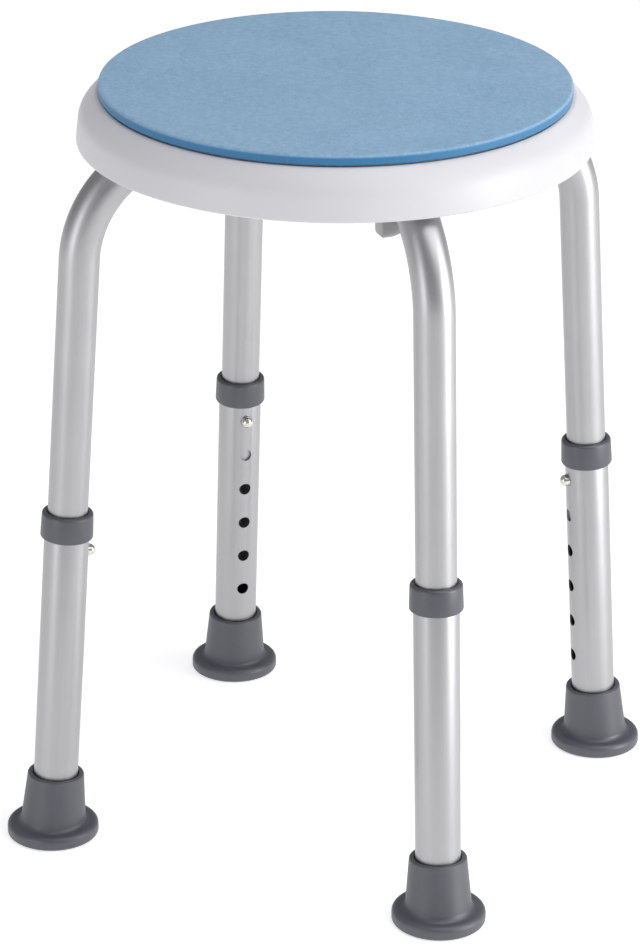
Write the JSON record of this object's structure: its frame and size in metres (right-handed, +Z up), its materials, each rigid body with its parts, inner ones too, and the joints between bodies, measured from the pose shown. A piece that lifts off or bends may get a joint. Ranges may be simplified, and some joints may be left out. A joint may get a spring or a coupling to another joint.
{
  "type": "swivel shower stool",
  "caption": "Round stool with a turning padded seat on a moulded shell and splayed aluminium legs whose height sets with snap buttons.",
  "frame": {"origin": "on the floor, under the middle of the round seat", "axes": "+Z up along the seat's turning axis; the legs stand on the diagonals between X and Y, so rear_right is towards +X +Y and front_left towards -X -Y"},
  "size_m": [0.3254, 0.3254, 0.482],
  "materials": {
    "white_shell": "satin",
    "white_disc": "satin",
    "blue_foam": "matt, fine grain",
    "acetal": "smooth",
    "grey_plastic": "satin",
    "pale_grey_plastic": "satin",
    "grey_rubber": "matt",
    "anodised_tube": "satin anodised",
    "nickel": "bright nickel",
    "spring_steel": "blank",
    "zinc_steel": "zinc plated"
  },
  "bodies": {
    "frame": {"seat_base": "white_shell", "glide_ring": "acetal", "frame_hub": "grey_plastic", "pivot_bush": "acetal", "saddle_screws": "zinc_steel", "hub_screws": "zinc_steel", "tube_screws": "zinc_steel", "rear_right_upper_tube": "anodised_tube", "rear_right_button_spring": "spring_steel", "rear_right_tube_saddle": "pale_grey_plastic", "rear_left_upper_tube": "anodised_tube", "rear_left_button_spring": "spring_steel", "rear_left_tube_saddle": "pale_grey_plastic", "front_left_upper_tube": "anodised_tube", "front_left_button_spring": "spring_steel", "front_left_tube_saddle": "pale_grey_plastic", "front_right_upper_tube": "anodised_tube", "front_right_button_spring": "spring_steel", "front_right_tube_saddle": "pale_grey_plastic"},
    "turntable": {"turntable_disc": "white_disc", "seat_pad": "blue_foam", "pivot_bolt": "zinc_steel", "pivot_washer": "zinc_steel", "pivot_nut": "zinc_steel"},
    "rear_right_leg": {"rear_right_lower_tube": "anodised_tube", "rear_right_collar": "grey_plastic", "rear_right_foot": "grey_rubber"},
    "rear_right_button": {"rear_right_snap_button": "nickel"},
    "rear_left_leg": {"rear_left_lower_tube": "anodised_tube", "rear_left_collar": "grey_plastic", "rear_left_foot": "grey_rubber"},
    "rear_left_button": {"rear_left_snap_button": "nickel"},
    "front_left_leg": {"front_left_lower_tube": "anodised_tube", "front_left_collar": "grey_plastic", "front_left_foot": "grey_rubber"},
    "front_left_button": {"front_left_snap_button": "nickel"},
    "front_right_leg": {"front_right_lower_tube": "anodised_tube", "front_right_collar": "grey_plastic", "front_right_foot": "grey_rubber"},
    "front_right_button": {"front_right_snap_button": "nickel"}
  },
  "joints": [
    {"name": "seat_swivel", "type": "hinge", "parent": "frame", "child": "turntable", "pos_m": [0, 0, 0.469], "axis": [0, 0, 1], "continuous": true},
    {"name": "rear_right_height", "type": "slide", "parent": "frame", "child": "rear_right_leg", "axis": [-0.0444, -0.0444, 0.998], "range_m": [0, 0.127], "deforming": ["rear_right_snap_button", "rear_right_button_spring"]},
    {"name": "rear_right_button_press", "type": "slide", "parent": "frame", "child": "rear_right_button", "axis": [0.7057, 0.7057, 0.0628], "range_m": [0, 0.0065], "stiffness_N_per_m": 1500, "springref_m": -0.002, "deforming": ["rear_right_button_spring"]},
    {"name": "rear_left_height", "type": "slide", "parent": "frame", "child": "rear_left_leg", "axis": [0.0444, -0.0444, 0.998], "range_m": [0, 0.127], "deforming": ["rear_left_snap_button", "rear_left_button_spring"]},
    {"name": "rear_left_button_press", "type": "slide", "parent": "frame", "child": "rear_left_button", "axis": [-0.7057, 0.7057, 0.0628], "range_m": [0, 0.0065], "stiffness_N_per_m": 1500, "springref_m": -0.002, "deforming": ["rear_left_button_spring"]},
    {"name": "front_left_height", "type": "slide", "parent": "frame", "child": "front_left_leg", "axis": [0.0444, 0.0444, 0.998], "range_m": [0, 0.127], "deforming": ["front_left_snap_button", "front_left_button_spring"]},
    {"name": "front_left_button_press", "type": "slide", "parent": "frame", "child": "front_left_button", "axis": [-0.7057, -0.7057, 0.0628], "range_m": [0, 0.0065], "stiffness_N_per_m": 1500, "springref_m": -0.002, "deforming": ["front_left_button_spring"]},
    {"name": "front_right_height", "type": "slide", "parent": "frame", "child": "front_right_leg", "axis": [-0.0444, 0.0444, 0.998], "range_m": [0, 0.127], "deforming": ["front_right_snap_button", "front_right_button_spring"]},
    {"name": "front_right_button_press", "type": "slide", "parent": "frame", "child": "front_right_button", "axis": [0.7057, -0.7057, 0.0628], "range_m": [0, 0.0065], "stiffness_N_per_m": 1500, "springref_m": -0.002, "deforming": ["front_right_button_spring"]}
  ]
}
